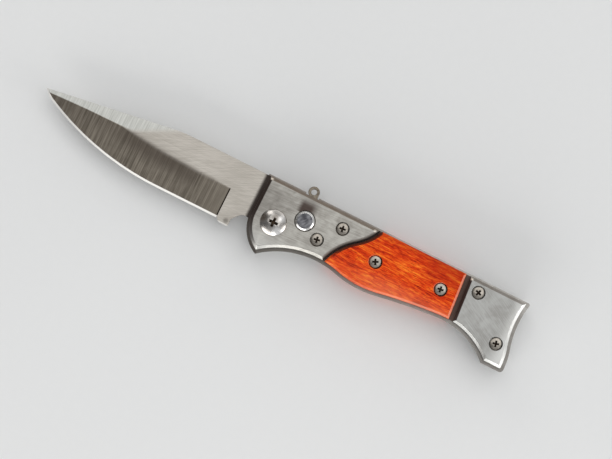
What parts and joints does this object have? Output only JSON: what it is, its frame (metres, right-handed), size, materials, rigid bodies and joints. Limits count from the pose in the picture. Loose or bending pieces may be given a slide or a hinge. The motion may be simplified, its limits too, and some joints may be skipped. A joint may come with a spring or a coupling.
{
  "type": "folding pocket knife",
  "caption": "Open folding knife with a clip-point blade, push-button lock, spine safety catch and a curved handle of bevelled steel bolsters and reddish wood scales.",
  "frame": {"origin": "on the blade pivot's axis, in the plane of the back bolsters' outer face that the knife lies on", "axes": "+X from the pivot along the handle to the butt, +Y to the spine, +Z out of the show face with the button"},
  "size_m": [0.2006, 0.0326, 0.0161],
  "materials": {
    "blade_steel": "brushed lengthwise, bevels ground across",
    "bolster_steel": "fine brushed, bevelled edges",
    "liner_steel": "satin",
    "handle_wood": "oiled, straight grained reddish wood",
    "pivot_metal": "polished dome",
    "screw_metal": "bright plated",
    "button_metal": "bright rim, satin top",
    "catch_metal": "tumbled",
    "inner_steel": "plain turned",
    "spring_steel": "drawn wire",
    "washer_bronze": "plain rolled"
  },
  "bodies": {
    "handle": {"liner_back": "liner_steel", "liner_front": "liner_steel", "bolster_front": "bolster_steel", "wood_scale_front": "handle_wood", "pommel_front": "bolster_steel", "bolster_back": "bolster_steel", "wood_scale_back": "handle_wood", "pommel_back": "bolster_steel", "bolster_screws_front": "screw_metal", "wood_screws_front": "screw_metal", "pommel_screws_front": "screw_metal", "bolster_screws_back": "screw_metal", "wood_screws_back": "screw_metal", "pommel_screws_back": "screw_metal", "pivot_barrel": "pivot_metal", "pivot_screw": "pivot_metal", "washer_front": "washer_bronze", "washer_back": "washer_bronze", "stop_pin": "inner_steel", "safety_pin": "inner_steel", "spacer_pins": "inner_steel", "back_spacer": "liner_steel", "opening_spring": "spring_steel", "button_spring": "spring_steel"},
    "blade": {"blade": "blade_steel"},
    "button": {"push_button": "button_metal", "lock_plunger": "inner_steel"},
    "safety": {"safety_slide": "catch_metal"}
  },
  "joints": [
    {"name": "blade_pivot", "type": "hinge", "parent": "handle", "child": "blade", "pos_m": [0, 0, 0.0069], "axis": [0, 0, 1], "range_deg": [0, 180], "stiffness_Nm_per_rad": 0.03, "springref_deg": -68.75, "deforming": ["opening_spring"]},
    {"name": "button_press", "type": "slide", "parent": "handle", "child": "button", "axis": [0, 0, -1], "range_m": [0, 0.0016], "stiffness_N_per_m": 600, "springref_m": -0.003, "deforming": ["button_spring"]},
    {"name": "safety_travel", "type": "slide", "parent": "handle", "child": "safety", "axis": [-1, 0, 0], "range_m": [0, 0.0022]}
  ]
}
